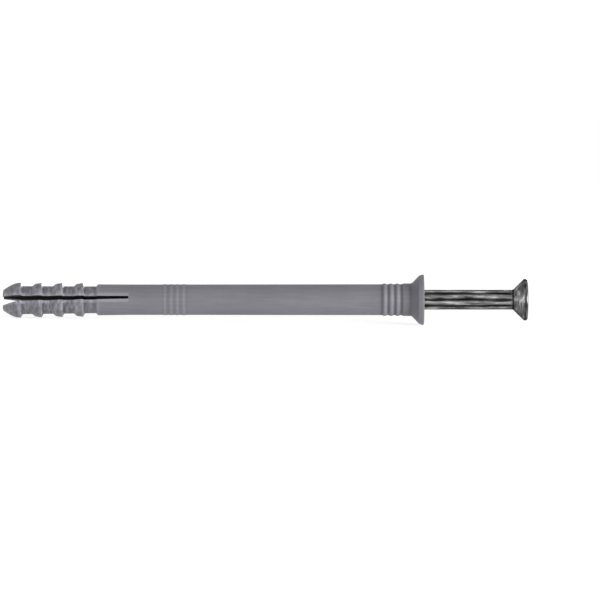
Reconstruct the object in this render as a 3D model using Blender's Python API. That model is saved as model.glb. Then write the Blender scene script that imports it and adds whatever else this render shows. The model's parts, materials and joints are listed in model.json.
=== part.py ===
"""Hammer fixing: a split nylon sleeve with a countersunk drive screw started in its bore.

Metres, +Z up. Both pieces are turned about the X axis, tip towards -X and heads towards +X. They hang
on one empty, which lays the fixing down the way it comes to rest on a table: on its collar and nose.
"""

import math

import bmesh
import bpy
from mathutils import Matrix, Vector

# Screw, measured along its axis from its point
SCREW_LENGTH = 0.0760
SHANK_RADIUS = 0.00190
POINT_LENGTH = 0.0030
POINT_FLAT_RADIUS = 0.0003
HEAD_RADIUS = 0.00395
HEAD_ANGLE = math.radians(90)
HEAD_RIM = 0.0007
HEAD_EDGE_ROUND = 0.00034
HEAD_FILLET = 0.0004
STANDS_OUT = 0.0197

# Shallow flutes along the shank
FLUTE_COUNT = 9
FLUTE_DEPTH = 0.00016
FLUTE_RUNOUT = 0.0007
FLUTE_TURN = math.radians(15)
SIDES_PER_FLUTE = 6
FLUTE_SHARPNESS = 1.5

# Cross recess in the head
RECESS_DEPTH = 0.0025
RECESS_TIP = 0.0005
WING_REACH = 0.0025
WING_REACH_AT_FLOOR = 0.0011
WING_WIDTH = 0.00130
WING_WIDTH_AT_FLOOR = 0.00090
RECESS_CORE = 0.00130
RECESS_CORE_AT_FLOOR = 0.00075
CUT_OVERRUN = 0.0004

# How the screw fits the sleeve
BORE_CLEARANCE = 0.00025
SEAT_CLEARANCE = 0.00010

# Sleeve, measured along its axis from its tip
SLEEVE_LENGTH = 0.0800
BODY_WALL = 0.00075
PILOT_BORE_RADIUS = 0.00110
BORE_MOUTH = 0.0002
SLEEVE_SIDES = 32

# Nose and barbs
NECK_DEPTH = 0.0004
NECK_END = 0.0177
NECK_STEP = 0.0003
NOSE_LENGTH = 0.0034
NOSE_TIP_RADIUS = 0.00185
NOSE_EDGE_ROUND = 0.0003
NOSE_HEIGHT = 0.00064
NOSE_STEPS = 7
BARB_COUNT = 3
BARB_PITCH = 0.00394
BARB_HEIGHT = 0.00062
BARB_RAMP = 0.0018
BARB_LAND = 0.0002
BARB_BACK = 0.0003
RAMP_SHOULDER = (0.35, 0.75)

# Slot that splits the sleeve into two jaws, and how far each jaw stands open at the tip
SLOT_LENGTH = 0.0239
SLOT_WIDTH = 0.00045
SLOT_TURN = math.radians(14.5)
UPPER_JAW_OPENING = 0.00010
LOWER_JAW_OPENING = 0.00032
MOUTH_LENGTH = 0.0033
MOUTH_DROP = 0.00062

# Shallow ridges round the body: one group at mid-length, one beside the collar that ends in a land
MID_RIDGE_COUNT = 4
MID_RIDGE_START = 0.0302
MID_RIDGE_PITCH = 0.00119
MID_RIDGE_HEIGHT = 0.00006
BODY_DRAFT = 0.00005
COLLAR_RIDGE_COUNT = 3
COLLAR_RIDGE_PITCH = 0.001236
COLLAR_RIDGE_HEIGHT = 0.00016
COLLAR_LAND = 0.0011
RIDGE_STEPS = 4

# Collar
FLARE_FILLET = 0.0008
FLARE_ANGLE = math.radians(47)
RIM_LIP = 0.00075
RIM_THICKNESS = 0.00105
RIM_STEP = 0.00008
RIM_STEP_LENGTH = 0.00006
RIM_TAPER = 0.00025
RIM_TAPER_LENGTH = 0.00066
RIM_EDGE_ROUND = 0.00012
ARC_STEPS = 4

# Sizes that follow from the ones above
BORE_RADIUS = SHANK_RADIUS + BORE_CLEARANCE
BODY_RADIUS = BORE_RADIUS + BODY_WALL
CORE_RADIUS = BODY_RADIUS - NECK_DEPTH
SEAT_RADIUS = HEAD_RADIUS + SEAT_CLEARANCE
RIM_RADIUS = SEAT_RADIUS + RIM_LIP
POINT_PLACE = SLEEVE_LENGTH + STANDS_OUT - SCREW_LENGTH
SCREW_SIDES = FLUTE_COUNT * SIDES_PER_FLUTE

# Colours, linear
NYLON_COLOUR = (0.220, 0.214, 0.243)
STEEL_COLOUR = (0.330, 0.330, 0.325)


def clear_scene():
    """Remove every object of the open scene."""
    for old in list(bpy.data.objects):
        bpy.data.objects.remove(old, do_unlink=True)


def make_material(name, colour, roughness, metallic):
    """Principled material with one even colour."""
    material = bpy.data.materials.new(name)
    material.use_nodes = True
    shader = material.node_tree.nodes["Principled BSDF"]
    shader.inputs["Base Color"].default_value = (*colour, 1.0)
    shader.inputs["Roughness"].default_value = roughness
    shader.inputs["Metallic"].default_value = metallic
    material.diffuse_color = (*colour, 1.0)
    return material


def add_object(name, mesh):
    """Link a mesh to the scene as an object."""
    item = bpy.data.objects.new(name, mesh)
    bpy.context.scene.collection.objects.link(item)
    return item


def mesh_from(bm, name):
    """Turn a finished bmesh into a mesh whose faces point out."""
    bmesh.ops.recalc_face_normals(bm, faces=bm.faces)
    mesh = bpy.data.meshes.new(name)
    bm.to_mesh(mesh)
    bm.free()
    return mesh


def arc(centre_x, centre_r, radius, start, end):
    """Outline points on an arc; angles in degrees, 0 along the axis and 90 away from it."""
    points = []
    for step in range(ARC_STEPS + 1):
        angle = math.radians(start + (end - start) * step / ARC_STEPS)
        points.append((centre_x + radius * math.cos(angle), centre_r + radius * math.sin(angle)))
    return points


def turned(name, outline, sides, closed):
    """Turn an outline of (x, radius) points about X; the flats touch the true circle, one faces down."""
    half_side = math.pi / sides
    bm = bmesh.new()
    verts = []
    for x, radius in outline:
        corner = radius / math.cos(half_side)
        verts.append(bm.verts.new((x, corner * math.sin(half_side), -corner * math.cos(half_side))))
    edges = [bm.edges.new(pair) for pair in zip(verts, verts[1:])]
    if closed:
        edges.append(bm.edges.new((verts[-1], verts[0])))
    bmesh.ops.spin(bm, geom=verts + edges, cent=(0, 0, 0), axis=(1, 0, 0),
                   angle=2 * math.pi, steps=sides, use_merge=True)
    bmesh.ops.remove_doubles(bm, verts=bm.verts, dist=1e-6)
    return mesh_from(bm, name)


def cut_away(piece, cutter):
    """Subtract the cutter from the piece for good, then remove the cutter."""
    cutter.hide_render = True
    cutter.display_type = 'WIRE'
    cut = piece.modifiers.new("cut", 'BOOLEAN')
    cut.operation = 'DIFFERENCE'
    cut.solver = 'EXACT'
    cut.object = cutter
    bpy.context.view_layer.update()
    evaluated = piece.evaluated_get(bpy.context.evaluated_depsgraph_get())
    carved = bpy.data.meshes.new_from_object(evaluated)
    piece.modifiers.clear()
    piece.data = carved
    bpy.data.objects.remove(cutter, do_unlink=True)


def shade(piece, material):
    """Give the piece its material, smooth round its sides and sharp at its edges."""
    piece.data.materials.clear()
    piece.data.materials.append(material)
    piece.data.shade_smooth()
    piece.data.set_sharp_from_angle(angle=math.radians(35))


def nose_outline():
    """Blunt tip with a rounded edge, then a bullet-shaped rise to the first crest."""
    first_x = NOSE_EDGE_ROUND / 2
    edge_r = NOSE_TIP_RADIUS - NOSE_EDGE_ROUND * math.sin(math.radians(120))
    points = arc(NOSE_EDGE_ROUND, edge_r, NOSE_EDGE_ROUND, 180, 120)
    rise = CORE_RADIUS + NOSE_HEIGHT - NOSE_TIP_RADIUS
    run = NOSE_LENGTH - BARB_LAND - first_x
    for step in range(1, NOSE_STEPS):
        share = step / NOSE_STEPS
        points.append((first_x + run * share, NOSE_TIP_RADIUS + rise * math.sin(share * math.pi / 2)))
    return points + crest_outline(NOSE_LENGTH, NOSE_HEIGHT)


def crest_outline(back_x, height):
    """Narrow land at the top of a barb, then its steep back down to the core."""
    crest = CORE_RADIUS + height
    return [(back_x - BARB_LAND, crest), (back_x, crest), (back_x + BARB_BACK, CORE_RADIUS)]


def barb_outline(back_x):
    """Barb that rises away from the tip in a full, slightly rounded ramp."""
    foot = back_x - BARB_RAMP
    run = BARB_RAMP - BARB_LAND
    shoulder = (foot + run * RAMP_SHOULDER[0], CORE_RADIUS + BARB_HEIGHT * RAMP_SHOULDER[1])
    return [(foot, CORE_RADIUS), shoulder] + crest_outline(back_x, BARB_HEIGHT)


def ridge_outline(start, base, count, pitch, height):
    """Row of shallow rounded ridges on a base radius; half a ridge more ends it on a crest."""
    points = []
    for step in range(round(count * RIDGE_STEPS) + 1):
        swell = (1 - math.cos(2 * math.pi * step / RIDGE_STEPS)) / 2
        points.append((start + pitch * step / RIDGE_STEPS, base + height * swell))
    return points


def collar_outline():
    """Collar-side ridges and land, the concave flare, and the rim up to the flat end face."""
    base = BODY_RADIUS + BODY_DRAFT
    land = base + COLLAR_RIDGE_HEIGHT
    ridge_count = COLLAR_RIDGE_COUNT + 0.5
    rim_back = SLEEVE_LENGTH - RIM_THICKNESS
    band_start = rim_back + RIM_STEP_LENGTH
    flare_top = RIM_RADIUS - RIM_TAPER - RIM_STEP
    fillet_run = FLARE_FILLET * math.sin(FLARE_ANGLE)
    fillet_rise = FLARE_FILLET * (1 - math.cos(FLARE_ANGLE))
    cone_run = (flare_top - land - fillet_rise) / math.tan(FLARE_ANGLE)
    flare_start = rim_back - cone_run - fillet_run
    ridges_start = flare_start - COLLAR_LAND - ridge_count * COLLAR_RIDGE_PITCH

    points = ridge_outline(ridges_start, base, ridge_count, COLLAR_RIDGE_PITCH, COLLAR_RIDGE_HEIGHT)
    points += arc(flare_start, land + FLARE_FILLET, FLARE_FILLET, -90, -90 + math.degrees(FLARE_ANGLE))
    points += [(rim_back, flare_top), (band_start, flare_top + RIM_STEP)]
    points.append((band_start + RIM_TAPER_LENGTH, RIM_RADIUS))
    points += arc(SLEEVE_LENGTH - RIM_EDGE_ROUND, RIM_RADIUS - RIM_EDGE_ROUND,
                  RIM_EDGE_ROUND, 90, 0)
    return points


def bore_outline():
    """Inside of the sleeve, from the seat of the screw's head back to the tip."""
    seat_depth = (SEAT_RADIUS - BORE_RADIUS) / math.tan(HEAD_ANGLE / 2)
    point_slope = (SHANK_RADIUS - POINT_FLAT_RADIUS) / POINT_LENGTH
    narrow_start = POINT_PLACE + POINT_LENGTH
    narrow_end = narrow_start - (BORE_RADIUS - PILOT_BORE_RADIUS) / point_slope
    return [
        (SLEEVE_LENGTH, SEAT_RADIUS),
        (SLEEVE_LENGTH - seat_depth, BORE_RADIUS),
        (narrow_start, BORE_RADIUS),
        (narrow_end, PILOT_BORE_RADIUS),
        (BORE_MOUTH, PILOT_BORE_RADIUS),
        (0, PILOT_BORE_RADIUS + BORE_MOUTH),
    ]


def sleeve_outline():
    """Closed outline of the sleeve's wall: outside from the tip to the collar, inside back again."""
    points = nose_outline()
    for barb in range(1, BARB_COUNT + 1):
        points += barb_outline(NOSE_LENGTH + barb * BARB_PITCH)
    points += [(NECK_END, CORE_RADIUS), (NECK_END + NECK_STEP, BODY_RADIUS)]
    points += ridge_outline(MID_RIDGE_START, BODY_RADIUS, MID_RIDGE_COUNT, MID_RIDGE_PITCH, MID_RIDGE_HEIGHT)
    points += collar_outline()
    return points + bore_outline()


def slot_cutter():
    """Blade that splits the jaws, with a one-sided flare at the mouth."""
    half = SLOT_WIDTH / 2
    drop_slope = MOUTH_DROP / MOUTH_LENGTH
    side = [
        (-CUT_OVERRUN, half),
        (SLOT_LENGTH, half),
        (SLOT_LENGTH, -half),
        (MOUTH_LENGTH, -half),
        (-CUT_OVERRUN, -half - MOUTH_DROP - CUT_OVERRUN * drop_slope),
    ]
    reach = RIM_RADIUS
    bm = bmesh.new()
    face = bm.faces.new([bm.verts.new((x, -reach, z)) for x, z in side])
    extruded = bmesh.ops.extrude_face_region(bm, geom=[face])
    moved = [item for item in extruded["geom"] if isinstance(item, bmesh.types.BMVert)]
    bmesh.ops.translate(bm, verts=moved, vec=(0, 2 * reach, 0))
    cutter = add_object("slot_cutter", mesh_from(bm, "slot_cutter"))
    cutter.rotation_euler.x = -SLOT_TURN
    return cutter


def add_ring(mesh, x):
    """Cut a ring of vertices into the mesh where it crosses x."""
    bm = bmesh.new()
    bm.from_mesh(mesh)
    everything = list(bm.verts) + list(bm.edges) + list(bm.faces)
    bmesh.ops.bisect_plane(bm, geom=everything, dist=1e-7, plane_co=(x, 0, 0), plane_no=(1, 0, 0))
    bm.to_mesh(mesh)
    bm.free()


def open_jaws(mesh):
    """Lean each jaw away from the slot, in proportion to the distance from the slot's root."""
    across = Vector((0, math.sin(SLOT_TURN), math.cos(SLOT_TURN)))
    for vertex in mesh.vertices:
        reach = max(0.0, 1 - vertex.co.x / SLOT_LENGTH)
        if vertex.co.dot(across) > 0:
            vertex.co += across * UPPER_JAW_OPENING * reach
        else:
            vertex.co -= across * LOWER_JAW_OPENING * reach


def build_sleeve():
    """Nylon sleeve: turned wall, split by the slot, with its jaws a little open."""
    mesh = turned("plug_sleeve", sleeve_outline(), SLEEVE_SIDES, closed=True)
    add_ring(mesh, SLOT_LENGTH)
    sleeve = add_object("plug_sleeve", mesh)
    cut_away(sleeve, slot_cutter())
    open_jaws(sleeve.data)
    shade(sleeve, make_material("grey_nylon", NYLON_COLOUR, roughness=0.5, metallic=0.0))
    return sleeve


def head_outline():
    """Fillet under the head, the countersunk cone, and the rim up to the flat face."""
    half_angle = HEAD_ANGLE / 2
    cone_top = SCREW_LENGTH - HEAD_RIM
    cone_foot = cone_top - (HEAD_RADIUS - SHANK_RADIUS) / math.tan(half_angle)
    fillet_start = cone_foot - HEAD_FILLET * math.tan(half_angle / 2)
    points = arc(fillet_start, SHANK_RADIUS + HEAD_FILLET, HEAD_FILLET,
                 -90, -90 + math.degrees(half_angle))
    points.append((cone_top, HEAD_RADIUS))
    points += arc(SCREW_LENGTH - HEAD_EDGE_ROUND, HEAD_RADIUS - HEAD_EDGE_ROUND,
                  HEAD_EDGE_ROUND, 90, 0)
    return points


def screw_outline():
    """Open outline of the screw from its blunt point to the middle of its head."""
    head = head_outline()
    shank_end = head[0][0]
    return [
        (0, 0),
        (0, POINT_FLAT_RADIUS),
        (POINT_LENGTH, SHANK_RADIUS),
        (POINT_LENGTH + FLUTE_RUNOUT, SHANK_RADIUS),
        (shank_end - FLUTE_RUNOUT, SHANK_RADIUS),
    ] + head + [(SCREW_LENGTH, 0)]


def press_flutes(mesh):
    """Sink the flutes into the shank between their run-outs at the point and at the head."""
    first = POINT_LENGTH + FLUTE_RUNOUT / 2
    last = head_outline()[0][0] - FLUTE_RUNOUT / 2
    for vertex in mesh.vertices:
        if first < vertex.co.x < last:
            around = math.atan2(vertex.co.z, vertex.co.y)
            groove = ((1 + math.cos(FLUTE_COUNT * around)) / 2) ** FLUTE_SHARPNESS
            shrink = 1 - groove * FLUTE_DEPTH / SHANK_RADIUS
            vertex.co.y *= shrink
            vertex.co.z *= shrink


def recess_section(depth):
    """Outline of the cross recess at a depth below the face: four wings round a square core."""
    share = depth / RECESS_DEPTH
    reach = WING_REACH + (WING_REACH_AT_FLOOR - WING_REACH) * share
    half = (WING_WIDTH + (WING_WIDTH_AT_FLOOR - WING_WIDTH) * share) / 2
    core = RECESS_CORE + (RECESS_CORE_AT_FLOOR - RECESS_CORE) * share
    wing = [(core, -half), (reach, -half), (reach, half), (core, half)]
    points = []
    for quarter in range(4):
        cos, sin = round(math.cos(quarter * math.pi / 2)), round(math.sin(quarter * math.pi / 2))
        points += [(cos * y - sin * z, sin * y + cos * z) for y, z in wing]
    return points


def recess_cutter():
    """Tapering cross with a pointed floor, the shape of the driver's tip."""
    bm = bmesh.new()
    rims = []
    for depth in (-CUT_OVERRUN, RECESS_DEPTH):
        rims.append([bm.verts.new((SCREW_LENGTH - depth, y, z)) for y, z in recess_section(depth)])
    top, floor = rims
    tip = bm.verts.new((SCREW_LENGTH - RECESS_DEPTH - RECESS_TIP, 0, 0))
    bm.faces.new(top)
    for index in range(len(top)):
        after = (index + 1) % len(top)
        bm.faces.new((top[index], top[after], floor[after], floor[index]))
        bm.faces.new((floor[index], floor[after], tip))
    return add_object("recess_cutter", mesh_from(bm, "recess_cutter"))


def build_screw():
    """Steel drive screw: turned blank, fluted shank, cross recess in the head."""
    mesh = turned("drive_screw", screw_outline(), SCREW_SIDES, closed=False)
    press_flutes(mesh)
    mesh.transform(Matrix.Rotation(FLUTE_TURN, 4, 'X'))
    screw = add_object("drive_screw", mesh)
    cut_away(screw, recess_cutter())
    shade(screw, make_material("zinc_plated_steel", STEEL_COLOUR, roughness=0.35, metallic=1.0))
    screw.location.x = POINT_PLACE
    return screw


def resting_angle(mesh):
    """Pitch that levels the two places the sleeve lies on, one each side of its middle."""
    lowest = []
    for vertex in sorted(mesh.vertices, key=lambda each: (each.co.x, each.co.z)):
        point = (vertex.co.x, vertex.co.z)
        while len(lowest) > 1 and turns_down(lowest[-2], lowest[-1], point):
            lowest.pop()
        lowest.append(point)
    after = next(index for index, point in enumerate(lowest) if point[0] > SLEEVE_LENGTH / 2)
    (x_tip, z_tip), (x_collar, z_collar) = lowest[after - 1], lowest[after]
    return math.atan2(z_collar - z_tip, x_collar - x_tip)


def turns_down(first, second, third):
    """Whether the path over three points bends downwards, which a hull from below never does."""
    return ((second[0] - first[0]) * (third[1] - first[1])
            - (second[1] - first[1]) * (third[0] - first[0])) <= 0


def lay_down(sleeve, screw):
    """Hang both pieces on an empty, level the fixing on the table and centre it over the origin."""
    rest = add_object("rest_frame", None)
    rest.rotation_euler.y = resting_angle(sleeve.data)
    for piece in (sleeve, screw):
        piece.parent = rest
    bpy.context.view_layer.update()
    places = [piece.matrix_world @ vertex.co for piece in (sleeve, screw) for vertex in piece.data.vertices]
    along = [place.x for place in places]
    rest.location = (-(min(along) + max(along)) / 2, 0, -min(place.z for place in places))
    bpy.context.view_layer.update()


def main():
    clear_scene()
    lay_down(build_sleeve(), build_screw())


main()
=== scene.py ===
"""Looks of the hammer fixing: its nylon sleeve and steel drive screw, on a plain pale floor."""

import json
import math

import bmesh
import bpy
from mathutils import Matrix, Vector, noise


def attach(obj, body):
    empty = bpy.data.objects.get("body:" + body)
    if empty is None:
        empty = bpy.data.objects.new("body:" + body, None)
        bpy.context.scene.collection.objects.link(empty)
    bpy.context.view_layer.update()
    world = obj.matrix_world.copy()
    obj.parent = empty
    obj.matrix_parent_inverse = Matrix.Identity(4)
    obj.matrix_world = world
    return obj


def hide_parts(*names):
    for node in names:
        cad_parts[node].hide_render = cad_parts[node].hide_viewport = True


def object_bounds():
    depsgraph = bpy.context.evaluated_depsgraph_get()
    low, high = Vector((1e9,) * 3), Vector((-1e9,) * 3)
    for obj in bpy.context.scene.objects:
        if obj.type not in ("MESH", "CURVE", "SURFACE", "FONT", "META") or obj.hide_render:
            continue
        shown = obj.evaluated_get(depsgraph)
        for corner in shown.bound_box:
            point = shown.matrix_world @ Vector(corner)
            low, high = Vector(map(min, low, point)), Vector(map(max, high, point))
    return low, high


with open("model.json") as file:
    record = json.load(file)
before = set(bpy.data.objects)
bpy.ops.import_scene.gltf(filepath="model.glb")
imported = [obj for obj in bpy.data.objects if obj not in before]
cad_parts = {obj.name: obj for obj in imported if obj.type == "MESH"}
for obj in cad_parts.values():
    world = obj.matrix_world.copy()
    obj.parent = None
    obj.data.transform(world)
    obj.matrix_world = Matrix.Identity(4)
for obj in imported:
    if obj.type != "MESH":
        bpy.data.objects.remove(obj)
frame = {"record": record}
cad_low, cad_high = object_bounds()

# Sizes in metres, repeated from the solids
SCREW_LENGTH = 0.0760
SHANK_RADIUS = 0.00190
POINT_LENGTH = 0.0030
POINT_FLAT_RADIUS = 0.0003
HEAD_RADIUS = 0.00395
HEAD_ANGLE = math.radians(90)
HEAD_RIM = 0.0007
HEAD_EDGE_ROUND = 0.00034
HEAD_FILLET = 0.0004
STANDS_OUT = 0.0197
FLUTE_COUNT = 9
FLUTE_DEPTH = 0.00016
FLUTE_RUNOUT = 0.0001  # shorter than in the solids, as the photograph shows it
FLUTE_TURN = math.radians(15)
RECESS_DEPTH = 0.0025
RECESS_TIP = 0.0005
WING_REACH = 0.0025
WING_REACH_AT_FLOOR = 0.0011
WING_WIDTH = 0.00130
WING_WIDTH_AT_FLOOR = 0.00090
RECESS_CORE = 0.00130
RECESS_CORE_AT_FLOOR = 0.00075
CUT_OVERRUN = 0.0004
BORE_CLEARANCE = 0.00025
SEAT_CLEARANCE = 0.00010
SLEEVE_LENGTH = 0.0800
BODY_WALL = 0.00075
PILOT_BORE_RADIUS = 0.00110
BORE_MOUTH = 0.0002
NECK_DEPTH = 0.0004
NECK_END = 0.0177
NECK_STEP = 0.0003
NOSE_LENGTH = 0.0034
NOSE_TIP_RADIUS = 0.00185
NOSE_EDGE_ROUND = 0.0003
NOSE_HEIGHT = 0.00064
BARB_COUNT = 3
BARB_PITCH = 0.00394
BARB_HEIGHT = 0.00062
BARB_RAMP = 0.0018
BARB_LAND = 0.0002
BARB_BACK = 0.0003
RAMP_SHOULDER = (0.35, 0.75)
SLOT_LENGTH = 0.0239
SLOT_WIDTH = 0.00050  # a little wider than in the solids, as the photograph shows it
SLOT_LEAN = 0.00012  # not in the solids: how far the slot leans at the tip
SLOT_TURN = math.radians(14.5)
UPPER_JAW_OPENING = 0.00010
LOWER_JAW_OPENING = 0.00032
MOUTH_LENGTH = 0.0033
MOUTH_DROP = 0.00062
MID_RIDGE_COUNT = 4
MID_RIDGE_START = 0.0302
MID_RIDGE_PITCH = 0.00119
MID_RIDGE_HEIGHT = 0.00006
BODY_DRAFT = 0.00005
COLLAR_RIDGE_COUNT = 3
COLLAR_RIDGE_PITCH = 0.001236
COLLAR_RIDGE_HEIGHT = 0.00016
COLLAR_LAND = 0.0011
FLARE_FILLET = 0.0008
FLARE_ANGLE = math.radians(47)
RIM_LIP = 0.00075
RIM_THICKNESS = 0.00105
RIM_STEP = 0.00008
RIM_STEP_LENGTH = 0.00006
RIM_TAPER = 0.00025
RIM_TAPER_LENGTH = 0.00066
RIM_EDGE_ROUND = 0.00012

BORE_RADIUS = SHANK_RADIUS + BORE_CLEARANCE
BODY_RADIUS = BORE_RADIUS + BODY_WALL
CORE_RADIUS = BODY_RADIUS - NECK_DEPTH
SEAT_RADIUS = HEAD_RADIUS + SEAT_CLEARANCE
RIM_RADIUS = SEAT_RADIUS + RIM_LIP
POINT_PLACE = SLEEVE_LENGTH + STANDS_OUT - SCREW_LENGTH

# How finely the pieces are made
NOSE_STEPS = 20
ARC_STEPS = 8
RIDGE_STEPS = 16
MOUTH_STEPS = 6
JAW_ARC_STEPS = 48
ROOT_GAP_STEPS = 4
SLOT_EDGE_ROUND = 0.00004
SLOT_EDGE_STEPS = 3
CORNER_FROM = math.radians(9)
CORNER_TRIM = 0.00009
CORNER_SHARE = 0.45
CORNER_STEPS = 4
SIDES_PER_FLUTE = 20
SCREW_SIDES = FLUTE_COUNT * SIDES_PER_FLUTE
STATION_GAP = 0.0004
STATION_DIGITS = 8
SAME_STATION = 1e-6
SAME_VERTEX = 1e-8
SHARP_FROM = math.radians(38)
CUT_SHARP_FROM = math.radians(25)

# Finer shape of the slot, the flutes and the recess
LEAN_FADE = 3  # power by which the slot's lean fades in from its mouth
FLUTE_SHARPNESS = 1.3
FLUTE_WANDER = 0.07  # radians that a flute may stray to either side
FLUTE_WANDER_SCALE = 300
FLUTE_WANDER_ROUND = 3
RECESS_LIP = 0.00006

# Painted shading by relief, from -1 for painted shade in a foot to 1 for a painted highlight on a crest
RELIEF_REACH = 0.0006  # how far along the outline a place's height is compared
RELIEF_STEPS = 12
# painted highlight on crests goes no further than this
PAINTED_CREST_HIGHLIGHT = 0.6
RELIEF_HEIGHT = 0.00015  # height that counts as full on the nose
MID_RELIEF_HEIGHT = 0.00006
COLLAR_RELIEF_HEIGHT = 0.0001
COLLAR_SIDE = 0.060  # where the collar's side starts, from the tip
FLARE_SIDE = 0.0773
# painted shade at the flare's foot goes no darker than this
FLARE_PAINTED_SHADE = -0.6
# painted highlights: on the rim, and where a barb's ramp starts
RIM_PAINTED_HIGHLIGHT = 0.35
RAMP_START_PAINTED_HIGHLIGHT = 0.45
RAMP_START_REACH = 0.0004
# painted highlight along the slot's edges
SLOT_EDGE_PAINTED_HIGHLIGHT = (1.0, 1.0, 0.5)  # at the first steps of a jaw's arc from the slot

# Painted shade on the screw by distance from its face: dark where the head starts and round its rim
HEAD_PAINTED_SHADE = [
    (-0.00298, 0.0), (-0.00293, -1.0), (-0.00263, -1.0), (-0.00258, -0.35),
    (-0.00076, -0.45), (-0.00070, -0.85), (-0.00036, -0.85), (-0.00024, -0.30),
]

# Nylon: linear greys by cloud, levels that multiply them, and noise features per metre
NYLON_GREYS = [(0.3, (0.208, 0.203, 0.229)), (0.7, (0.232, 0.227, 0.255))]
# levels of the painted highlight on crests and painted shade in feet
NYLON_PAINTED_SHADING = (0.55, 1.45)
# painted shade: the slot and the bore are made nearly black
NYLON_INSIDE_PAINTED_SHADE = 0.005  # nearly black in the slot and the bore
NYLON_STREAKS = (0.955, 1.045)
NYLON_ROUGHNESS = (0.42, 0.58)
NYLON_SPECULAR = 0.25
NOSE_MOTTLE = 0.42
NOSE_BLEND = 0.001
FLOW_RANGE = (0.35, 0.65)  # noise values that the streaks span
MOTTLE_RANGE = (0.3, 0.7)
CLOUD_SCALE = 180
FLOW_SCALE = 2600
GRAIN_SCALE = 9000
MOTTLE_SCALE = 2300

# Steel: linear greys by streak, levels that multiply them, and noise features per metre
STEEL_GREYS = [
    (0.34, (0.062, 0.062, 0.062)),
    (0.52, (0.23, 0.23, 0.229)),
    (0.67, (0.57, 0.57, 0.566)),
]
# levels of the painted shade under the head and round its rim
STEEL_PAINTED_SHADING = (0.10, 1.90)
# painted shade nearly black in the flutes
STEEL_FLUTE_PAINTED_SHADE = 0.03
STEEL_ROUGHNESS = (0.26, 0.46)
STEEL_TINT = (0.4, 0.4, 0.4, 1.0)  # of reflections at a glance
STREAK_SCALE = 1500
RING_SCALE = 2600
BLOTCH_SCALE = 900

# Bumps as strength and height in metres
FLOW_BUMP = (0.10, 0.00002)
GRAIN_BUMP = (0.12, 0.00001)
STEEL_BUMP = (0.30, 0.00002)

# Studio, with lamps as name, place, width, height and watts
FLOOR_SIZE = 14.0
FLOOR_COLOUR = (0.85, 0.85, 0.85, 1.0)
FLOOR_GLOW = (0.22, 0.68)  # as a light, and as the eye and reflections see it
WORLD_GLOW = (0.32, 1.0)
LAMPS = [
    ("key", (0.50, -0.30, 0.07), 0.24, 0.12, 2.70),
    ("left", (-0.50, -0.14, 0.03), 0.10, 0.06, 0.66),
    ("fill", (-0.10, -0.60, 0.04), 0.50, 0.07, 0.35),
    ("back", (1.20, 4.20, 0.35), 2.00, 0.50, 95.0),  # beyond the floor that the camera sees
]

# The photograph: object axis, scale and place in the picture
PICTURE_WIDTH = 600
TIP_PIXEL = 3.3
FACE_PIXEL = 527.4
AXIS_PIXEL_ROW = 299.7
CAMERA_RISE = math.radians(5)
LENS = 250
SENSOR = 36
CAMERA_NEAR = 0.01
CAMERA_FAR = 10


# Outlines of the turned forms

def arc(centre_x, centre_r, radius, start, end):
    """Points (x, radius from the axis) on an arc; angles in degrees, 90 points away from the axis."""
    points = []
    for step in range(ARC_STEPS + 1):
        angle = math.radians(start + (end - start) * step / ARC_STEPS)
        points.append((centre_x + radius * math.cos(angle), centre_r + radius * math.sin(angle)))
    return points


def eased(points):
    """Round every corner of an outline with a small curve that keeps within the corner."""
    smooth = [points[0]]
    for before, corner, after in zip(points, points[1:], points[2:]):
        into = Vector(corner) - Vector(before)
        out = Vector(after) - Vector(corner)
        if into.angle(out) < CORNER_FROM:
            smooth.append(corner)
            continue
        trim = min(CORNER_TRIM, into.length * CORNER_SHARE, out.length * CORNER_SHARE)
        start = Vector(corner) - into.normalized() * trim
        end = Vector(corner) + out.normalized() * trim
        for step in range(CORNER_STEPS + 1):
            share = step / CORNER_STEPS
            first = start.lerp(Vector(corner), share)
            second = Vector(corner).lerp(end, share)
            smooth.append(tuple(first.lerp(second, share)))
    return smooth + [points[-1]]


def spaced(points):
    """Outline with more points, so that none lies further than a station gap from the next."""
    fine = [points[0]]
    for (x0, r0), (x1, r1) in zip(points, points[1:]):
        parts = max(1, math.ceil(abs(x1 - x0) / STATION_GAP))
        for part in range(1, parts + 1):
            share = part / parts
            fine.append((x0 + (x1 - x0) * share, r0 + (r1 - r0) * share))
    return fine


def crest_outline(back_x, height):
    """Narrow land at the top of a barb, then its steep back down to the core."""
    crest = CORE_RADIUS + height
    return [(back_x - BARB_LAND, crest), (back_x, crest), (back_x + BARB_BACK, CORE_RADIUS)]


def nose_outline():
    """Blunt tip with a rounded edge, then a bullet-shaped rise to the first crest."""
    edge_end = 120
    first_x = NOSE_EDGE_ROUND / 2
    edge_r = NOSE_TIP_RADIUS - NOSE_EDGE_ROUND * math.sin(math.radians(edge_end))
    points = arc(NOSE_EDGE_ROUND, edge_r, NOSE_EDGE_ROUND, 180, edge_end)
    rise = CORE_RADIUS + NOSE_HEIGHT - NOSE_TIP_RADIUS
    run = NOSE_LENGTH - BARB_LAND - first_x
    for step in range(1, NOSE_STEPS):
        share = step / NOSE_STEPS
        points.append((first_x + run * share, NOSE_TIP_RADIUS + rise * math.sin(share * math.pi / 2)))
    return points + crest_outline(NOSE_LENGTH, NOSE_HEIGHT)


def barb_outline(back_x):
    """Barb that rises away from the tip in a full, slightly rounded ramp."""
    foot = back_x - BARB_RAMP
    run = BARB_RAMP - BARB_LAND
    shoulder = (foot + run * RAMP_SHOULDER[0], CORE_RADIUS + BARB_HEIGHT * RAMP_SHOULDER[1])
    return [(foot, CORE_RADIUS), shoulder] + crest_outline(back_x, BARB_HEIGHT)


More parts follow.
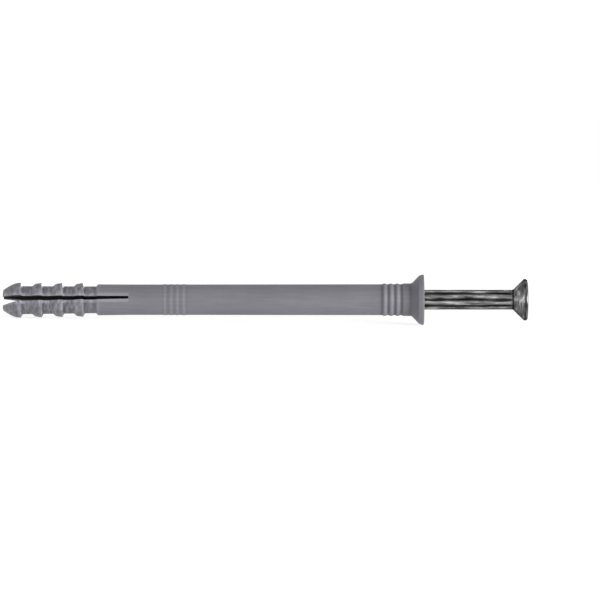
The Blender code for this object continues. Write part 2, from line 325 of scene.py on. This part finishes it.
def ridge_outline(start, base, count, pitch, height):
    """Row of shallow rounded ridges on a base radius; half a ridge more ends it on a crest."""
    points = []
    for step in range(round(count * RIDGE_STEPS) + 1):
        swell = (1 - math.cos(2 * math.pi * step / RIDGE_STEPS)) / 2
        points.append((start + pitch * step / RIDGE_STEPS, base + height * swell))
    return points


def collar_outline():
    """Collar-side ridges and land, the concave flare, and the rim up to the flat end face."""
    base = BODY_RADIUS + BODY_DRAFT
    land = base + COLLAR_RIDGE_HEIGHT
    ridge_count = COLLAR_RIDGE_COUNT + 0.5
    rim_back = SLEEVE_LENGTH - RIM_THICKNESS
    band_start = rim_back + RIM_STEP_LENGTH
    flare_top = RIM_RADIUS - RIM_TAPER - RIM_STEP
    fillet_run = FLARE_FILLET * math.sin(FLARE_ANGLE)
    fillet_rise = FLARE_FILLET * (1 - math.cos(FLARE_ANGLE))
    cone_run = (flare_top - land - fillet_rise) / math.tan(FLARE_ANGLE)
    flare_start = rim_back - cone_run - fillet_run
    ridges_start = flare_start - COLLAR_LAND - ridge_count * COLLAR_RIDGE_PITCH

    points = ridge_outline(ridges_start, base, ridge_count, COLLAR_RIDGE_PITCH, COLLAR_RIDGE_HEIGHT)
    points += arc(flare_start, land + FLARE_FILLET, FLARE_FILLET, -90, -90 + math.degrees(FLARE_ANGLE))
    points += [(rim_back, flare_top), (band_start, flare_top + RIM_STEP)]
    points.append((band_start + RIM_TAPER_LENGTH, RIM_RADIUS))
    points += arc(SLEEVE_LENGTH - RIM_EDGE_ROUND, RIM_RADIUS - RIM_EDGE_ROUND,
                  RIM_EDGE_ROUND, 90, 0)
    return points


def outside_outline():
    """Outside of the sleeve from its tip to the collar's end face."""
    points = nose_outline()
    for barb in range(1, BARB_COUNT + 1):
        points += barb_outline(NOSE_LENGTH + barb * BARB_PITCH)
    points += [(NECK_END, CORE_RADIUS), (NECK_END + NECK_STEP, BODY_RADIUS)]
    points += ridge_outline(MID_RIDGE_START, BODY_RADIUS, MID_RIDGE_COUNT,
                            MID_RIDGE_PITCH, MID_RIDGE_HEIGHT)
    return spaced(eased(points + collar_outline()))


def inside_outline():
    """Bore of the sleeve from its tip to the collar's end face."""
    seat_depth = (SEAT_RADIUS - BORE_RADIUS) / math.tan(HEAD_ANGLE / 2)
    point_slope = (SHANK_RADIUS - POINT_FLAT_RADIUS) / POINT_LENGTH
    narrow_start = POINT_PLACE + POINT_LENGTH
    narrow_end = narrow_start - (BORE_RADIUS - PILOT_BORE_RADIUS) / point_slope
    return eased([
        (0, PILOT_BORE_RADIUS + BORE_MOUTH),
        (BORE_MOUTH, PILOT_BORE_RADIUS),
        (narrow_end, PILOT_BORE_RADIUS),
        (narrow_start, BORE_RADIUS),
        (SLEEVE_LENGTH - seat_depth, BORE_RADIUS),
        (SLEEVE_LENGTH, SEAT_RADIUS),
    ])


# Relief along an outline

def radius_at(outline, x):
    """Radius of an outline at x, between its points."""
    if x <= outline[0][0]:
        return outline[0][1]
    for (x0, r0), (x1, r1) in zip(outline, outline[1:]):
        if x0 <= x <= x1:
            return r0 if x1 == x0 else r0 + (r1 - r0) * (x - x0) / (x1 - x0)
    return outline[-1][1]


def height_over(outline, x, reach):
    """How far the outline stands over its mean within a reach, which is negative towards the tip."""
    beside = [radius_at(outline, x + reach * step / RELIEF_STEPS) for step in range(RELIEF_STEPS + 1)]
    return radius_at(outline, x) - sum(beside) / len(beside)


def relief_at(outline, x):
    """How far the outline stands above (to 1, a painted highlight) or below (to -1, painted shade) the
    stretch around it.
    """
    height = (height_over(outline, x, -RELIEF_REACH) + height_over(outline, x, RELIEF_REACH)) / 2
    full = RELIEF_HEIGHT if x < SLOT_LENGTH else MID_RELIEF_HEIGHT
    return max(-1.0, min(PAINTED_CREST_HIGHLIGHT, height / full))


def sleeve_painted_shading_at(outline, x):
    """Painted shading of the sleeve: painted highlight on the rim and where a barb's ramp starts, painted
    shade in feet, and compared towards the rim by the collar.
    """
    if x > SLEEVE_LENGTH - RIM_THICKNESS:
        # painted highlight on the rim
        return RIM_PAINTED_HIGHLIGHT
    if x > COLLAR_SIDE:
        # painted shade in the feet and painted highlight on the crests by the collar
        foot = FLARE_PAINTED_SHADE if x > FLARE_SIDE else -1.0
        height = height_over(outline, x, RELIEF_REACH)
        return max(foot, min(PAINTED_CREST_HIGHLIGHT, height / COLLAR_RELIEF_HEIGHT))
    step_down = min(0.0, height_over(outline, x, -RELIEF_REACH)) / RELIEF_HEIGHT
    barbs = range(1, BARB_COUNT + 1)
    to_ramp = min(abs(x - NOSE_LENGTH - barb * BARB_PITCH + BARB_RAMP) for barb in barbs)
    # painted highlight where a barb's ramp starts
    ramp_highlight = RAMP_START_PAINTED_HIGHLIGHT * max(0.0, 1 - to_ramp / RAMP_START_REACH)
    return max(relief_at(outline, x), step_down, -1.0) + ramp_highlight


# Meshes

def new_bmesh():
    """Empty bmesh whose vertices carry the painted shading by relief and the inside of the surface, which is
    painted shade.
    """
    bm = bmesh.new()
    bm.verts.layers.float.new("painted_shading")
    bm.verts.layers.float.new("inside")
    return bm


def add_vert(bm, place, painted_shading, inside):
    """Vertex with its painted shading, and with an inside of 1, which is painted shade, on an inner wall or
    at the bottom of a flute.
    """
    vert = bm.verts.new(place)
    vert[bm.verts.layers.float["painted_shading"]] = painted_shading
    vert[bm.verts.layers.float["inside"]] = inside
    return vert


def bridge(bm, near, far):
    """Quads between two closed rings of as many vertices."""
    for index in range(len(near)):
        after = (index + 1) % len(near)
        bm.faces.new((near[index], near[after], far[after], far[index]))


def finished_mesh(bm, name):
    """Mesh from a bmesh, with its faces pointing out and smooth round its sides."""
    bmesh.ops.remove_doubles(bm, verts=bm.verts, dist=SAME_VERTEX)
    bmesh.ops.recalc_face_normals(bm, faces=bm.faces)
    mesh = bpy.data.meshes.new(name)
    bm.to_mesh(mesh)
    bm.free()
    mesh.shade_smooth()
    mesh.set_sharp_from_angle(angle=SHARP_FROM)
    return mesh


def add_object(name, mesh):
    """Link a mesh to the scene as an object."""
    item = bpy.data.objects.new(name, mesh)
    bpy.context.scene.collection.objects.link(item)
    return item


# Sleeve

def slot_corner(outer, wall):
    """Rounded corner (across, up) from the slot's wall to the outside, and the angle at which it ends."""
    up = wall + SLOT_EDGE_ROUND
    across = math.sqrt((outer - SLOT_EDGE_ROUND) ** 2 - up ** 2)
    end = math.atan2(up, across)
    corner = []
    for step in range(SLOT_EDGE_STEPS + 1):
        angle = -math.pi / 2 + (end + math.pi / 2) * step / SLOT_EDGE_STEPS
        corner.append((across + SLOT_EDGE_ROUND * math.cos(angle), up + SLOT_EDGE_ROUND * math.sin(angle)))
    return corner, end


def jaw_section(outer, inner, far_wall, near_wall):
    """Half ring above the slot: outside from its far edge to its near one, then back along the bore."""
    far, far_end = slot_corner(outer, far_wall)
    near, near_end = slot_corner(outer, near_wall)
    over = []
    for step in range(1, JAW_ARC_STEPS):
        angle = far_end + (math.pi - near_end - far_end) * step / JAW_ARC_STEPS
        over.append((outer * math.cos(angle), outer * math.sin(angle)))
    near = [(-y, z) for y, z in reversed(near)]
    bore_start = math.pi - math.asin(near_wall / inner)
    bore_end = math.asin(far_wall / inner)
    bore = []
    for step in range(JAW_ARC_STEPS + 1):
        angle = bore_start + (bore_end - bore_start) * step / JAW_ARC_STEPS
        bore.append((inner * math.cos(angle), inner * math.sin(angle)))
    return far + over + near + bore


def place_in_sleeve(x, across, up):
    """Point of the slot's own plane turned into the sleeve's frame."""
    cos, sin = math.cos(SLOT_TURN), math.sin(SLOT_TURN)
    return Vector((x, across * cos + up * sin, -across * sin + up * cos))


def jaw_stations(outside, inside):
    """Every x at which a jaw needs a section, from the tip to the slot's root."""
    stations = {round(x, STATION_DIGITS) for x, _ in outside + inside if x < SLOT_LENGTH}
    stations |= {MOUTH_LENGTH * step / MOUTH_STEPS for step in range(MOUTH_STEPS + 1)}
    ordered = [x for x in sorted(stations) if x < SLOT_LENGTH - CORNER_TRIM]
    apart = [ordered[0]]
    for x in ordered[1:]:
        if x - apart[-1] > SAME_STATION:
            apart.append(x)
    return apart + [SLOT_LENGTH]


def jaw_tones(painted_shading):
    """Painted shading and inside of each point of a jaw's section, in the order of jaw_section: a painted
    highlight on the slot's edges and painted shade on the inner walls.
    """
    right = [(1.0, 1.0 if step == 0 else 0.0) for step in range(SLOT_EDGE_STEPS + 1)]
    over = [(painted_shading, 0.0)] * (JAW_ARC_STEPS - 1)
    for step, highlight in enumerate(SLOT_EDGE_PAINTED_HIGHLIGHT):
        over[step] = over[-1 - step] = (max(painted_shading, highlight), 0.0)
    return right + over + right[::-1] + [(0.0, 1.0)] * (JAW_ARC_STEPS + 1)


def build_jaw(bm, outside, inside, side):
    """One jaw, side 1 above the slot and -1 below it; returns its vertices at the slot's root. The upper jaw
    reaches lower on its far side, and the lower one is cut lower on its near side."""
    opening = UPPER_JAW_OPENING if side > 0 else LOWER_JAW_OPENING
    rings = []
    for x in jaw_stations(outside, inside):
        far_wall = near_wall = SLOT_WIDTH / 2
        lean = SLOT_LEAN * (1 - x / SLOT_LENGTH)
        if side > 0:
            far_wall -= 2 * lean * min(1.0, x / MOUTH_LENGTH) ** LEAN_FADE
        else:
            mouth = MOUTH_DROP * max(0.0, 1 - x / MOUTH_LENGTH)
            far_wall += mouth
            near_wall += lean + mouth
        lift = opening * (1 - x / SLOT_LENGTH)
        section = jaw_section(radius_at(outside, x), radius_at(inside, x), far_wall, near_wall)
        tones = jaw_tones(sleeve_painted_shading_at(outside, x))
        rings.append([add_vert(bm, place_in_sleeve(x, y, side * (z + lift)), *tone)
                      for (y, z), tone in zip(section, tones)])
    for near, far in zip(rings, rings[1:]):
        bridge(bm, near, far)
    bm.faces.new(rings[0])
    return rings[-1]


def closed_ring(bm, x, radius, upper, lower, inside):
    """Full ring at x through the ends of two jaw arcs, with the gaps between the arcs filled in."""
    ring = list(upper)
    for start, end in ((upper[-1], lower[0]), (lower[-1], upper[0])):
        first = math.atan2(start.co.z, start.co.y)
        turn = (math.atan2(end.co.z, end.co.y) - first) % (2 * math.pi)
        for step in range(1, ROOT_GAP_STEPS):
            angle = first + turn * step / ROOT_GAP_STEPS
            place = (x, radius * math.cos(angle), radius * math.sin(angle))
            ring.append(add_vert(bm, place, 0.0, inside))
        if end is lower[0]:
            ring += list(lower)
    return ring


def build_tube(bm, outline, ring, inside):
    """Turned surface that carries a ring along the rest of an outline; returns its last ring."""
    for x, radius in outline:
        if x > SLOT_LENGTH + SAME_STATION:
            tone = (sleeve_painted_shading_at(outline, x), 0.0)
            if inside:
                # painted shade on the bore's wall
                tone = (0.0, 1.0 if x < SLEEVE_LENGTH else 0.0)
            following = []
            for vert in ring:
                out = Vector((0, vert.co.y, vert.co.z)).normalized() * radius
                following.append(add_vert(bm, (x, out.y, out.z), *tone))
            bridge(bm, ring, following)
            ring = following
    return ring


def sleeve_mesh():
    """Whole sleeve: two jaws, the slot's end walls, and the turned tube with its bore."""
    outside, inside = outside_outline(), inside_outline()
    bm = new_bmesh()
    upper = build_jaw(bm, outside, inside, 1)
    lower = build_jaw(bm, outside, inside, -1)

    corner = SLOT_EDGE_STEPS
    outer_end = corner + JAW_ARC_STEPS
    bore_start = outer_end + corner + 1
    upper_arc = upper[corner:outer_end + 1]
    lower_arc = lower[corner:outer_end + 1][::-1]
    upper_bore = upper[bore_start:][::-1]
    lower_bore = lower[bore_start:]

    outer_ring = closed_ring(bm, SLOT_LENGTH, radius_at(outside, SLOT_LENGTH), upper_arc, lower_arc, 0.0)
    inner_ring = closed_ring(bm, SLOT_LENGTH, radius_at(inside, SLOT_LENGTH), upper_bore, lower_bore, 1.0)

    arc_count, gap_count = JAW_ARC_STEPS + 1, ROOT_GAP_STEPS - 1
    left_outer = outer_ring[arc_count:arc_count + gap_count]
    right_outer = outer_ring[-gap_count:]
    left_inner = inner_ring[arc_count:arc_count + gap_count]
    right_inner = inner_ring[-gap_count:]
    bm.faces.new(upper[outer_end:bore_start] + [upper_bore[-1]] + left_inner
                 + [lower_bore[0]] + lower[outer_end:bore_start][::-1] + left_outer[::-1])
    bm.faces.new(lower[:corner + 1][::-1] + [lower_bore[-1]] + right_inner
                 + [upper_bore[0]] + upper[:corner + 1] + right_outer[::-1])

    last_outer = build_tube(bm, outside, outer_ring, False)
    last_inner = build_tube(bm, inside, inner_ring, True)
    bridge(bm, last_outer, last_inner)
    return finished_mesh(bm, "nylon_sleeve")


# Screw

def head_outline():
    """Fillet under the head, the countersunk cone, and the rim up to the flat face."""
    half_angle = HEAD_ANGLE / 2
    cone_top = SCREW_LENGTH - HEAD_RIM
    cone_foot = cone_top - (HEAD_RADIUS - SHANK_RADIUS) / math.tan(half_angle)
    fillet_start = cone_foot - HEAD_FILLET * math.tan(half_angle / 2)
    points = arc(fillet_start, SHANK_RADIUS + HEAD_FILLET, HEAD_FILLET,
                 -90, -90 + math.degrees(half_angle))
    points.append((cone_top, HEAD_RADIUS))
    points += arc(SCREW_LENGTH - HEAD_EDGE_ROUND, HEAD_RADIUS - HEAD_EDGE_ROUND,
                  HEAD_EDGE_ROUND, 90, 0)
    return points


def screw_outline():
    """Screw from its blunt point to the edge of its flat face."""
    point = [(0, POINT_FLAT_RADIUS), (POINT_LENGTH, SHANK_RADIUS)]
    return spaced(eased(point + head_outline()))


def flute_at(x, angle):
    """Share of a flute's full depth at a place: none past its run-outs, and a little uneven."""
    shank_end = head_outline()[0][0]
    fade = min(1.0, max(0.0, (x - POINT_LENGTH) / FLUTE_RUNOUT),
               max(0.0, (shank_end - x) / FLUTE_RUNOUT))
    place = Vector((x * FLUTE_WANDER_SCALE,
                    FLUTE_WANDER_ROUND * math.sin(angle), FLUTE_WANDER_ROUND * math.cos(angle)))
    wander = FLUTE_WANDER * noise.noise(place)
    wave = (1 + math.cos(FLUTE_COUNT * (angle - FLUTE_TURN + wander))) / 2
    return fade * wave ** FLUTE_SHARPNESS


def screw_mesh():
    """Turned and fluted screw with its head, before the recess is cut."""
    outline = screw_outline()
    shade_places = [SCREW_LENGTH + x for x, _ in HEAD_PAINTED_SHADE]
    outline = sorted(outline + [(x, radius_at(outline, x)) for x in shade_places])
    bm = new_bmesh()
    rings = []
    for x, radius in outline:
        # painted shade by distance from the face
        painted_shading = radius_at(HEAD_PAINTED_SHADE, x - SCREW_LENGTH)
        ring = []
        for side in range(SCREW_SIDES):
            angle = 2 * math.pi * side / SCREW_SIDES
            flute = flute_at(x, angle)
            here = radius - FLUTE_DEPTH * flute
            place = (x, here * math.cos(angle), here * math.sin(angle))
            ring.append(add_vert(bm, place, painted_shading, flute))
        rings.append(ring)
    for near, far in zip(rings, rings[1:]):
        bridge(bm, near, far)
    bm.faces.new(rings[0])
    bm.faces.new(rings[-1])
    return finished_mesh(bm, "drive_screw_steel")


def recess_section(depth, lip):
    """Outline of the cross recess at a depth below the face: four wings round a square core."""
    share = depth / RECESS_DEPTH
    reach = WING_REACH + (WING_REACH_AT_FLOOR - WING_REACH) * share + lip
    half = (WING_WIDTH + (WING_WIDTH_AT_FLOOR - WING_WIDTH) * share) / 2 + lip
    core = RECESS_CORE + (RECESS_CORE_AT_FLOOR - RECESS_CORE) * share + lip
    wing = [(core, -half), (reach, -half), (reach, half), (core, half)]
    points = []
    for _ in range(4):
        points += wing
        wing = [(-z, y) for y, z in wing]
    return points


def recess_cutter():
    """Tapering cross with a softened lip and a pointed floor."""
    bm = bmesh.new()
    rings = []
    for depth, lip in ((-CUT_OVERRUN, RECESS_LIP + CUT_OVERRUN), (RECESS_LIP, 0), (RECESS_DEPTH, 0)):
        x = SCREW_LENGTH - depth
        rings.append([bm.verts.new((x, y, z)) for y, z in recess_section(depth, lip)])
    for near, far in zip(rings, rings[1:]):
        bridge(bm, near, far)
    tip = bm.verts.new((SCREW_LENGTH - RECESS_DEPTH - RECESS_TIP, 0, 0))
    floor = rings[-1]
    for index in range(len(floor)):
        bm.faces.new((floor[index], floor[(index + 1) % len(floor)], tip))
    bm.faces.new(rings[0])
    return finished_mesh(bm, "recess_cutter")


def cut_away(piece, mesh):
    """Subtract a mesh from the piece for good."""
    cutter = add_object("cutter", mesh)
    cut = piece.modifiers.new("cut", 'BOOLEAN')
    cut.operation = 'DIFFERENCE'
    cut.solver = 'EXACT'
    cut.object = cutter
    bpy.context.view_layer.update()
    evaluated = piece.evaluated_get(bpy.context.evaluated_depsgraph_get())
    carved = bpy.data.meshes.new_from_object(evaluated)
    piece.modifiers.clear()
    piece.data = carved
    piece.data.shade_smooth()
    piece.data.set_sharp_from_angle(angle=CUT_SHARP_FROM)
    bpy.data.objects.remove(cutter, do_unlink=True)


# Materials

class Nodes:
    """Short names for adding and joining shader nodes."""

    def __init__(self, material):
        material.use_nodes = True
        self.tree = material.node_tree
        self.shader = self.tree.nodes["Principled BSDF"]
        self.place = self.add("ShaderNodeTexCoord").outputs["Object"]

    def add(self, kind, **settings):
        node = self.tree.nodes.new(kind)
        for name, value in settings.items():
            setattr(node, name, value)
        return node

    def join(self, output, socket):
        self.tree.links.new(output, socket)

    def noise(self, scale, detail=3.0, roughness=0.5, stretch=(1, 1, 1)):
        """Noise at so many features per metre, stretched along chosen axes."""
        mapping = self.add("ShaderNodeMapping")
        mapping.inputs["Scale"].default_value = stretch
        self.join(self.place, mapping.inputs["Vector"])
        texture = self.add("ShaderNodeTexNoise")
        texture.inputs["Scale"].default_value = scale
        texture.inputs["Detail"].default_value = detail
        texture.inputs["Roughness"].default_value = roughness
        self.join(mapping.outputs["Vector"], texture.inputs["Vector"])
        return texture.outputs["Fac"]

    def along(self):
        """Place along the fixing."""
        parts = self.add("ShaderNodeSeparateXYZ")
        self.join(self.place, parts.inputs["Vector"])
        return parts.outputs["X"]

    def painted(self, name):
        """Value that the mesh carries at each vertex."""
        return self.add("ShaderNodeAttribute", attribute_name=name).outputs["Fac"]

    def ramp(self, value, stops):
        """Colour ramp through (position, linear colour) stops."""
        ramp = self.add("ShaderNodeValToRGB")
        elements = ramp.color_ramp.elements
        while len(elements) < len(stops):
            elements.new(0.5)
        for element, (position, colour) in zip(elements, stops):
            element.position = position
            element.color = (*colour, 1.0)
        self.join(value, ramp.inputs["Fac"])
        return ramp.outputs["Color"]

    def span(self, value, low, high, start=0.0, end=1.0):
        """Map a value between start and end on to low to high."""
        node = self.add("ShaderNodeMapRange")
        node.inputs["From Min"].default_value = start
        node.inputs["From Max"].default_value = end
        node.inputs["To Min"].default_value = low
        node.inputs["To Max"].default_value = high
        self.join(value, node.inputs["Value"])
        return node.outputs["Result"]

    def product(self, first, second):
        node = self.add("ShaderNodeMath", operation='MULTIPLY')
        self.join(first, node.inputs[0])
        self.join(second, node.inputs[1])
        return node.outputs["Value"]

    def dimmed(self, colour, level):
        """Colour times a level."""
        node = self.add("ShaderNodeVectorMath", operation='SCALE')
        self.join(colour, node.inputs[0])
        self.join(level, node.inputs["Scale"])
        return node.outputs["Vector"]

    def blend(self, share, first, second):
        """Value that goes from first to second with the share."""
        node = self.add("ShaderNodeMix")
        self.join(share, node.inputs[0])
        self.join(first, node.inputs[2])
        self.join(second, node.inputs[3])
        return node.outputs[0]

    def bump(self, height, strength, distance, normal=None):
        node = self.add("ShaderNodeBump")
        node.inputs["Strength"].default_value = strength
        node.inputs["Distance"].default_value = distance
        self.join(height, node.inputs["Height"])
        if normal is not None:
            self.join(normal, node.inputs["Normal"])
        return node.outputs["Normal"]


def nylon_material():
    """Grey moulded nylon: satin, mottled nose, painted highlight on crests and edges, painted shade in feet,
    and a slot and bore painted nearly black as shade.
    """
    material = bpy.data.materials.new("grey_nylon_moulded")
    nodes = Nodes(material)
    cloud = nodes.noise(CLOUD_SCALE, detail=2.0)
    flow = nodes.noise(FLOW_SCALE, detail=2.0, stretch=(0.06, 1, 1))
    grain = nodes.noise(GRAIN_SCALE)
    colour = nodes.ramp(cloud, NYLON_GREYS)
    painted_shading = nodes.span(nodes.painted("painted_shading"), *NYLON_PAINTED_SHADING, start=-1.0)
    # painted shade that makes the slot and the bore nearly black
    inside = nodes.span(nodes.painted("inside"), 1.0, NYLON_INSIDE_PAINTED_SHADE)
    streaks = nodes.span(flow, *NYLON_STREAKS, *FLOW_RANGE)
    nose_end = cad_low.x + NECK_END
    on_nose = nodes.span(nodes.along(), 1.0, 0.0, start=nose_end - NOSE_BLEND, end=nose_end + NOSE_BLEND)
    patches = nodes.noise(MOTTLE_SCALE, detail=4.0, stretch=(1, 0.4, 0.4))
    patches = nodes.span(patches, -NOSE_MOTTLE, NOSE_MOTTLE, *MOTTLE_RANGE)
    mottle = nodes.span(nodes.product(on_nose, patches), 0.0, 2.0, start=-1.0)
    level = nodes.product(nodes.product(nodes.product(painted_shading, inside), streaks), mottle)
    nodes.join(nodes.dimmed(colour, level), nodes.shader.inputs["Base Color"])
    nodes.join(nodes.span(flow, *NYLON_ROUGHNESS), nodes.shader.inputs["Roughness"])
    soft = nodes.bump(flow, *FLOW_BUMP)
    nodes.join(nodes.bump(grain, *GRAIN_BUMP, soft), nodes.shader.inputs["Normal"])
    nodes.shader.inputs["Specular IOR Level"].default_value = NYLON_SPECULAR
    return material


def steel_material():
    """Zinc-plated steel: streaked along the shank, ringed on the head, with painted shade nearly black in
    its flutes and dark round the head.
    """
    material = bpy.data.materials.new("zinc_plated_steel_drawn")
    nodes = Nodes(material)
    streaks = nodes.noise(STREAK_SCALE, detail=5.0, roughness=0.6, stretch=(0.18, 1, 1))
    rings = nodes.noise(RING_SCALE, detail=4.0, roughness=0.6, stretch=(1, 0.25, 0.25))
    blotches = nodes.noise(BLOTCH_SCALE, stretch=(0.5, 1, 1))
    head_start, head_end = cad_high.x - HEAD_RADIUS, cad_high.x - HEAD_RADIUS / 2
    head = nodes.span(nodes.along(), 0.0, 1.0, start=head_start, end=head_end)
    marks = nodes.blend(head, streaks, rings)
    colour = nodes.ramp(marks, STEEL_GREYS)
    # painted shade under the head and round its rim
    painted_shading = nodes.span(nodes.painted("painted_shading"), *STEEL_PAINTED_SHADING, start=-1.0)
    # painted shade nearly black at the bottom of the flutes
    flute_shade = nodes.span(nodes.painted("inside"), 1.0, STEEL_FLUTE_PAINTED_SHADE)
    nodes.join(nodes.dimmed(colour, nodes.product(painted_shading, flute_shade)), nodes.shader.inputs["Base Color"])
    nodes.join(nodes.span(blotches, *STEEL_ROUGHNESS), nodes.shader.inputs["Roughness"])
    nodes.join(nodes.bump(marks, *STEEL_BUMP), nodes.shader.inputs["Normal"])
    nodes.shader.inputs["Metallic"].default_value = 1.0
    nodes.shader.inputs["Specular Tint"].default_value = STEEL_TINT
    return material


# Pieces in their place

def seat_pieces(pieces):
    """Pitch the meshes as the screw's mount says and set them on the solids' own box."""
    along = Vector(frame["record"]["mounts"][0]["axis"])
    pitch = Matrix.Rotation(-math.atan2(along.z, along.x), 4, 'Y')
    for piece in pieces:
        piece.data.transform(pitch)
    places = [vertex.co for piece in pieces for vertex in piece.data.vertices]
    shift = Vector((cad_high.x - max(place.x for place in places), 0,
                    cad_low.z - min(place.z for place in places)))
    for piece in pieces:
        piece.data.transform(Matrix.Translation(shift))
    return pitch.to_3x3() @ Vector((1, 0, 0)), shift


def build_pieces():
    """Sleeve and screw in their place; returns the object's axis and the place of its tip."""
    sleeve = add_object("nylon_sleeve", sleeve_mesh())
    sleeve.data.materials.append(nylon_material())
    screw = add_object("drive_screw_steel", screw_mesh())
    cut_away(screw, recess_cutter())
    screw.data.transform(Matrix.Translation((POINT_PLACE, 0, 0)))
    screw.data.materials.clear()
    screw.data.materials.append(steel_material())
    axis, tip = seat_pieces((sleeve, screw))

    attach(sleeve, "root")
    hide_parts("plug_sleeve")
    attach(screw, "root")
    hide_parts("drive_screw")
    return axis, tip


# Studio

def make_floor():
    """Plain pale floor that looks white to the camera and keeps the object's shadow."""
    bpy.ops.mesh.primitive_plane_add(size=FLOOR_SIZE, location=(0, 0, cad_low.z))
    floor = bpy.context.object
    floor.name = "studio_floor"
    material = bpy.data.materials.new("pale_floor")
    material.use_nodes = True
    tree = material.node_tree
    tree.nodes.clear()
    output = tree.nodes.new("ShaderNodeOutputMaterial")
    matte = tree.nodes.new("ShaderNodeBsdfDiffuse")
    matte.inputs["Color"].default_value = FLOOR_COLOUR
    glow = tree.nodes.new("ShaderNodeEmission")
    tree.links.new(glow_level(tree, *FLOOR_GLOW), glow.inputs["Strength"])
    both = tree.nodes.new("ShaderNodeAddShader")
    tree.links.new(matte.outputs[0], both.inputs[0])
    tree.links.new(glow.outputs[0], both.inputs[1])
    tree.links.new(both.outputs[0], output.inputs["Surface"])
    floor.data.materials.append(material)


def glow_level(tree, as_light, to_eye):
    """Glow with one level for rays that light the object and one for the eye's and reflections' rays."""
    path = tree.nodes.new("ShaderNodeLightPath")
    total = path.outputs["Is Camera Ray"]
    for name in ("Is Glossy Ray", "Is Transmission Ray"):
        joined = tree.nodes.new("ShaderNodeMath")
        joined.operation = 'MAXIMUM'
        tree.links.new(total, joined.inputs[0])
        tree.links.new(path.outputs[name], joined.inputs[1])
        total = joined.outputs[0]
    level = tree.nodes.new("ShaderNodeMapRange")
    level.inputs["To Min"].default_value = as_light
    level.inputs["To Max"].default_value = to_eye
    tree.links.new(total, level.inputs["Value"])
    return level.outputs["Result"]


def make_world():
    """Even pale surroundings: white to the eye and in reflections, plainer as a light."""
    world = bpy.data.worlds.new("studio")
    world.use_nodes = True
    tree = world.node_tree
    background = tree.nodes["Background"]
    background.inputs["Color"].default_value = (1, 1, 1, 1)
    tree.links.new(glow_level(tree, *WORLD_GLOW), background.inputs["Strength"])
    bpy.context.scene.world = world


def make_light(name, place, width, height, power):
    """Soft lamp that faces the object."""
    light = bpy.data.lights.new(name, 'AREA')
    light.shape = 'RECTANGLE'
    light.size = width
    light.size_y = height
    light.energy = power
    item = bpy.data.objects.new(name, light)
    bpy.context.scene.collection.objects.link(item)
    item.location = place
    item.rotation_euler = (-Vector(place)).to_track_quat('-Z', 'Y').to_euler()
    item.visible_camera = False


def make_camera(axis, tip):
    """Long lens square to the object's axis, which lies level across the picture."""
    scale = (SLEEVE_LENGTH + STANDS_OUT) / (FACE_PIXEL - TIP_PIXEL)
    middle = tip + axis * (PICTURE_WIDTH / 2 - TIP_PIXEL) * scale
    look = Vector((0, math.cos(CAMERA_RISE), -math.sin(CAMERA_RISE)))
    look = (look - axis * look.dot(axis)).normalized()
    up = axis.cross(look)
    middle += up * (AXIS_PIXEL_ROW - PICTURE_WIDTH / 2) * scale
    camera = bpy.data.cameras.new("camera")
    camera.lens = LENS
    camera.sensor_width = SENSOR
    distance = PICTURE_WIDTH * scale * LENS / SENSOR
    camera.clip_start = CAMERA_NEAR
    camera.clip_end = CAMERA_FAR
    item = bpy.data.objects.new("camera", camera)
    bpy.context.scene.collection.objects.link(item)
    turn = Matrix((axis, up, -look)).transposed()
    item.matrix_world = Matrix.Translation(middle - look * distance) @ turn.to_4x4()
    bpy.context.scene.camera = item


def main():
    """Build the pieces, the camera square to them, and the studio."""
    axis, tip = build_pieces()
    make_camera(axis, tip)
    make_floor()
    make_world()
    for lamp in LAMPS:
        make_light(*lamp)
    bpy.context.scene.view_settings.view_transform = 'Standard'


main()
